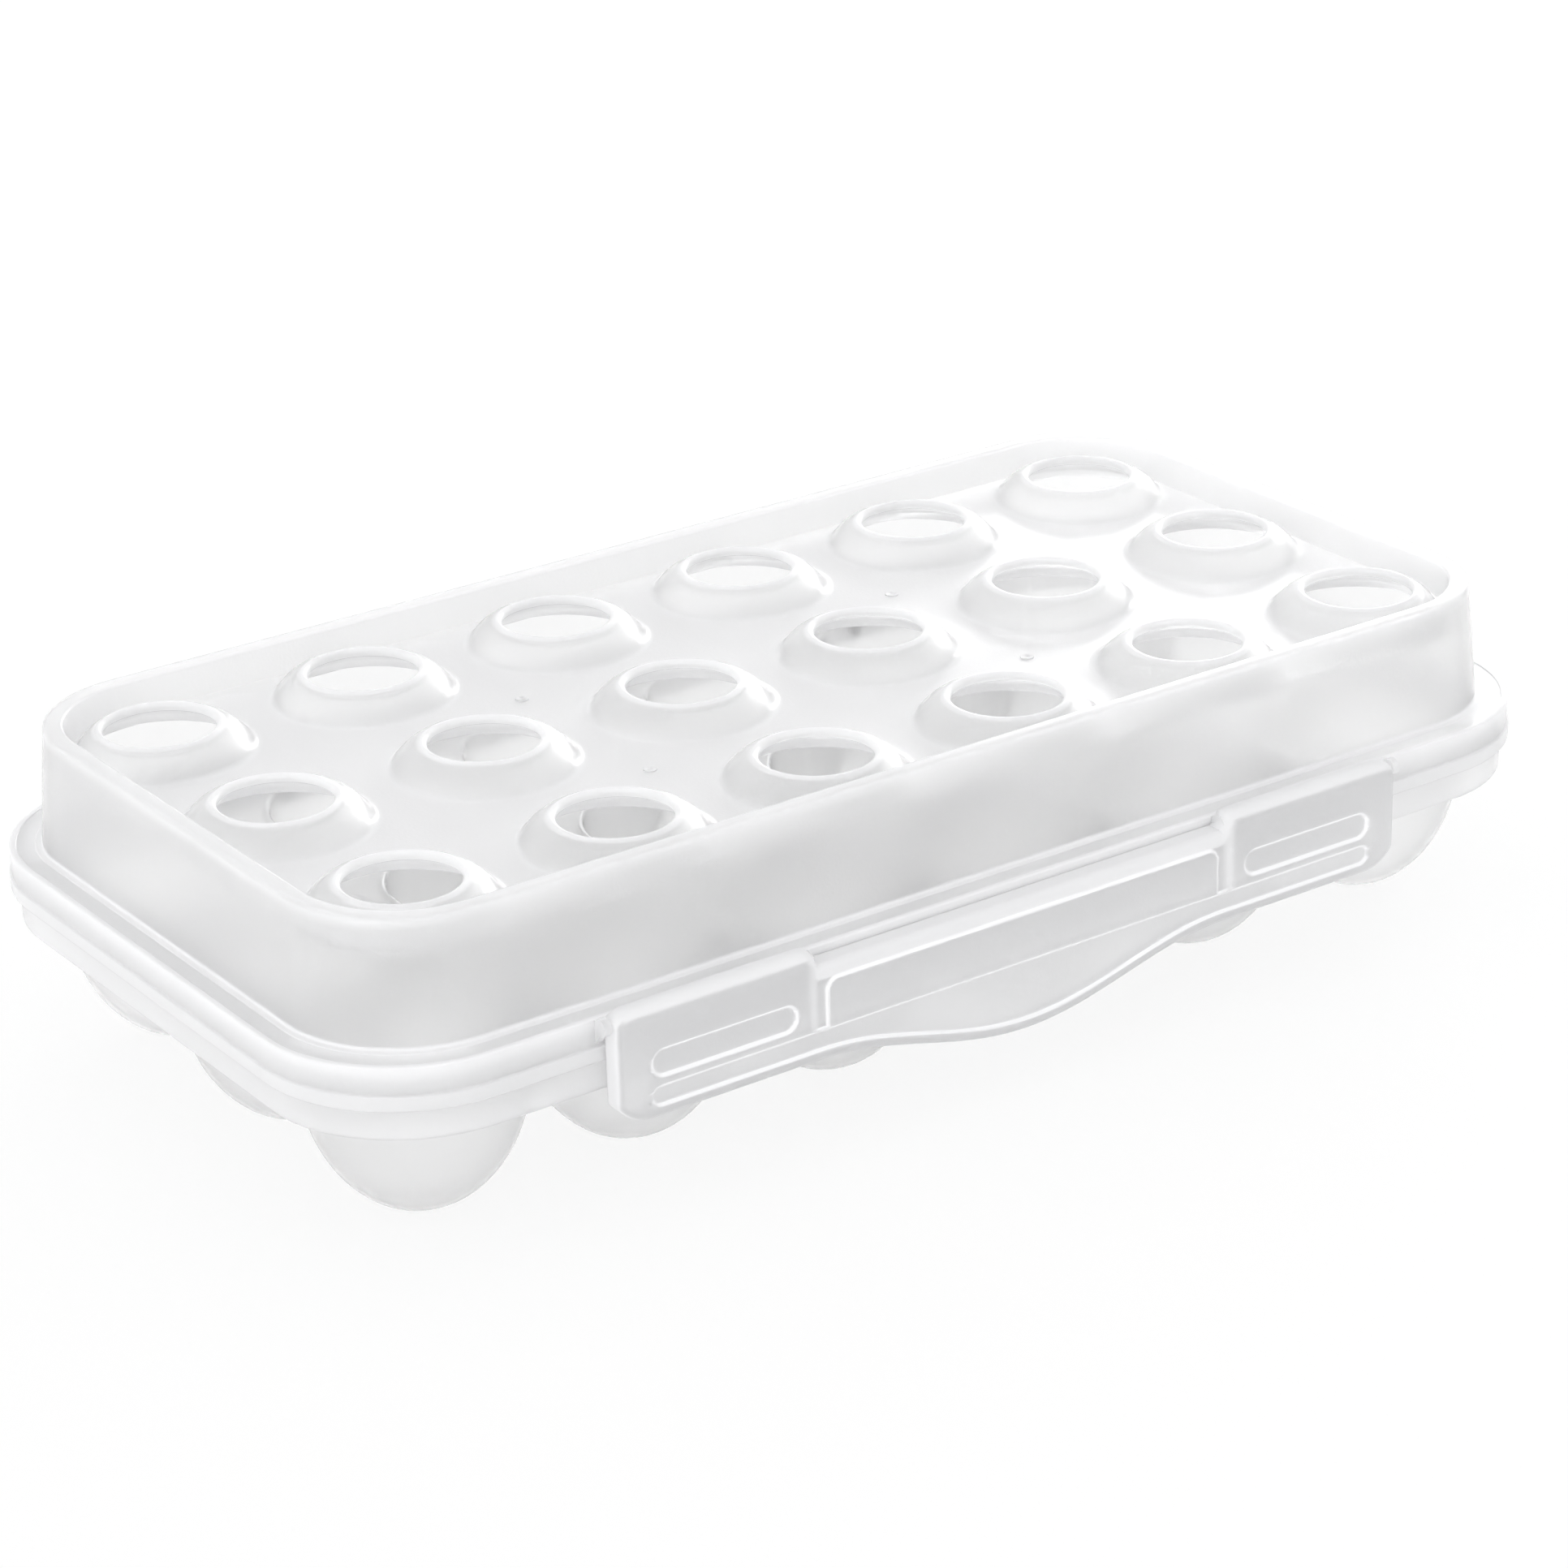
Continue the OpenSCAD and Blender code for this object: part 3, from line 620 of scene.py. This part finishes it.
# %% A wrapped socket and a finish
class Value:
    """A node's output that takes part in arithmetic."""

    def __init__(self, finish, socket):
        self.finish, self.socket = finish, socket

    def maths(self, operation, first, second):
        """A Math node on two values, each a number or a wrapped output."""
        return self.finish.add("ShaderNodeMath", {"operation": operation}, {0: first, 1: second})

    def __add__(self, other):
        return self.maths("ADD", self, other)

    def __mul__(self, other):
        return self.maths("MULTIPLY", self, other)

    __radd__, __rmul__ = __add__, __mul__


class Finish:
    """The nodes of a new material, or of the world, and the one method that adds them."""

    def __init__(self, name, owner=None):
        self.owner = owner or bpy.data.materials.new(name)
        self.owner.use_nodes = True
        self.tree = self.owner.node_tree
        self.tree.nodes.clear()

    def add(self, kind, settings=None, sockets=None, out=0):
        """A node of a kind. Settings are set first; sockets are numbers, colours or wrapped outputs."""
        node = self.tree.nodes.new(kind)
        for key, value in (settings or {}).items():
            setattr(node, key, value)
        for key, value in (sockets or {}).items():
            if isinstance(value, Value):
                self.tree.links.new(value.socket, node.inputs[key])
            else:
                node.inputs[key].default_value = value
        return Value(self, node.outputs[out]) if len(node.outputs) else node

    def show(self, surface, output="ShaderNodeOutputMaterial"):
        """Connects the surface to the output and returns the material or the world."""
        self.add(output, None, {"Surface": surface})
        return self.owner


# %% [markdown]
# ## Frosted polypropylene
# Polypropylene is milky. Light that goes through a wall is blurred a little, some of it is scattered
# back as white, and the skin has a satin sheen with a fine grain from the mould. A plain transparent
# colour would look like glass, and a plain white one would hide the cups behind the walls. So the finish
# mixes rough transmission with a share of white, which lets part of its light through, under a fine grain.
# The share drifts a little over the surface and grows where the attribute says whiter, which is partly the
# plastic's own milkiness and partly painted light and painted highlights.

# %% Frosted plastic
DRIFT = 0.08


def frosted(name, rough, milk, grain):
    """Rough clear plastic mixed with translucent white. Milk is the share of white, and a thin glossy
    skin on top gives the tighter highlights of the mould's polish."""
    finish = Finish(name)
    at = finish.add("ShaderNodeTexCoord", out="Object")
    fine = finish.add("ShaderNodeTexNoise", None, {"Vector": at, "Scale": 1400.0, "Detail": 2.0})
    flow = finish.add("ShaderNodeTexNoise", None, {"Vector": at, "Scale": 18.0, "Detail": 3.0})
    bump = finish.add("ShaderNodeBump", None, {"Strength": grain, "Distance": 0.0002, "Height": fine})
    clear = finish.add("ShaderNodeBsdfPrincipled", None, {
        "Base Color": (1, 1, 1, 1), "Roughness": rough - DRIFT / 2 + DRIFT * flow, "IOR": 1.15,
        "Transmission Weight": 1.0, "Coat Weight": 1.0, "Coat Roughness": 0.2, "Normal": bump})
    whiter = finish.add("ShaderNodeAttribute", {"attribute_name": "whiter"}, out="Fac")
    glow = finish.add("ShaderNodeBsdfTranslucent", None, {"Color": (1, 1, 1, 1)})
    haze = finish.add("ShaderNodeBsdfDiffuse", None, {"Color": (0.97, 0.97, 0.98, 1), "Normal": bump})
    body = finish.add("ShaderNodeMixShader", None, {0: 0.5 + whiter, 1: glow, 2: haze})
    white_share = milk - DRIFT / 2 + DRIFT * flow + whiter
    return finish.show(finish.add("ShaderNodeMixShader", None, {0: white_share, 1: clear, 2: body}))


lid_plastic = frosted("lid_plastic", 0.52, 0.13, 0.15)
tray_plastic = frosted("tray_plastic", 0.50, 0.13, 0.12)
latch_plastic = frosted("latch_plastic", 0.50, 0.54, 0.15)
thick_plastic = frosted("thick_plastic", 0.50, 0.60, 0.15)


def dress(piece, material):
    """The material becomes the only one of the piece."""
    piece.data.materials.clear()
    piece.data.materials.append(material)


dress(tray, tray_plastic)
dress(lid, lid_plastic)
dress(latch, latch_plastic)
for name in ("tray_hinge", "lid_knuckle", "latch_rod"):
    for side in ("left", "right"):
        dress(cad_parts[f"{name}_{side}"], thick_plastic)

# %% [markdown]
# ## Floor
# The photograph is a cut-out on white. More light would turn the floor white too, but it would wash out
# the plastic as well. So the floor is pale and matt to the light, which keeps the object's soft shadow,
# and mostly plain white to the eye, by the kind of ray that meets it.

# %% Floor
def seen(finish):
    """1 on rays that show a surface to the eye, directly or in a reflection, and half through plastic."""
    kinds = ("Is Camera Ray", "Is Glossy Ray", "Is Transmission Ray")
    camera_ray, glossy_ray, clear_ray = [finish.add("ShaderNodeLightPath", out=kind) for kind in kinds]
    shown = camera_ray + glossy_ray + 0.5 * clear_ray
    return finish.add("ShaderNodeMath", {"operation": "MINIMUM"}, {0: shown, 1: 1.0})


floor_white = Finish("floor_white")
matt = floor_white.add("ShaderNodeBsdfDiffuse", None, {"Color": (0.95, 0.95, 0.95, 1)})
paper = floor_white.add("ShaderNodeEmission", None, {"Color": (1, 1, 1, 1), "Strength": 1.0})
FLOOR_HALF, FLOOR_Z, FLOOR_GLOW = 3000, -0.05, 0.85
glow_share = FLOOR_GLOW * seen(floor_white)
lit = floor_white.add("ShaderNodeMixShader", None, {0: glow_share, 1: matt, 2: paper})
floor_material = floor_white.show(lit)
floor_signs = np.array([(-1, -1), (1, -1), (1, 1), (-1, 1)])
floor_points = np.column_stack([FLOOR_HALF * floor_signs, np.full(4, FLOOR_Z)])
floor = make_mesh("floor", floor_points, np.array([[0, 1, 2, 3]]))
dress(floor, floor_material)

# %% [markdown]
# ## Light
# A white world gives soft light from everywhere, which suits milky plastic. A large lamp low on the far
# right puts a highlight on the right side of each dome and bead, and a weaker one on the left keeps the
# near end from going flat.

# %% Light
world = bpy.data.worlds.new("studio")
bpy.context.scene.world = world
sky = Finish("studio", world)
backdrop = sky.add("ShaderNodeBackground", None, {"Color": (1, 1, 1, 1), "Strength": 1.0})
sky.show(backdrop, "ShaderNodeOutputWorld")


def lamp(name, place, aim, wide, high, watts):
    """A rectangular lamp at place, in metres, turned to shine at aim."""
    data = bpy.data.lights.new(name, "AREA")
    data.shape, data.size, data.size_y, data.energy = "RECTANGLE", wide, high, watts
    made = bpy.data.objects.new(name, data)
    made.location = place
    made.rotation_euler = (Vector(aim) - Vector(place)).to_track_quat("-Z", "Y").to_euler()
    bpy.context.scene.collection.objects.link(made)
    return made


lamp("right_window", (1.2, 0.8, 0.33), (0, 0, 0.05), 0.9, 0.5, 11)
lamp("left_fill", (-1.3, -0.6, 0.3), (0, 0, 0.05), 0.8, 0.8, 4)

# %% [markdown]
# ## Camera
# The camera stands where the box's edges converge as they do in the photograph. Its focal length is given
# in pixels of the photograph's frame, and the sensor's width turns it into millimetres.

# %% Camera
AZIMUTH, ELEVATION, ROLL = math.radians(-34.70), math.radians(23.29), math.radians(-1.68)
IMAGE_W, FOCAL_PIXELS = 1932, 5561
eye = bpy.data.cameras.new("camera")
eye.sensor_width, eye.clip_start, eye.clip_end = 36, 0.05, 50
eye.lens = eye.sensor_width * FOCAL_PIXELS / IMAGE_W
camera = bpy.data.objects.new("camera", eye)
camera.location = (-0.5210, -0.7542, 0.4348)
level = Euler((math.pi / 2 - ELEVATION, 0, AZIMUTH)).to_matrix()
camera.rotation_euler = (level @ Matrix.Rotation(ROLL, 3, "Z")).to_euler()
bpy.context.scene.collection.objects.link(camera)
bpy.context.scene.camera = camera
bpy.context.scene.view_settings.view_transform = "Standard"
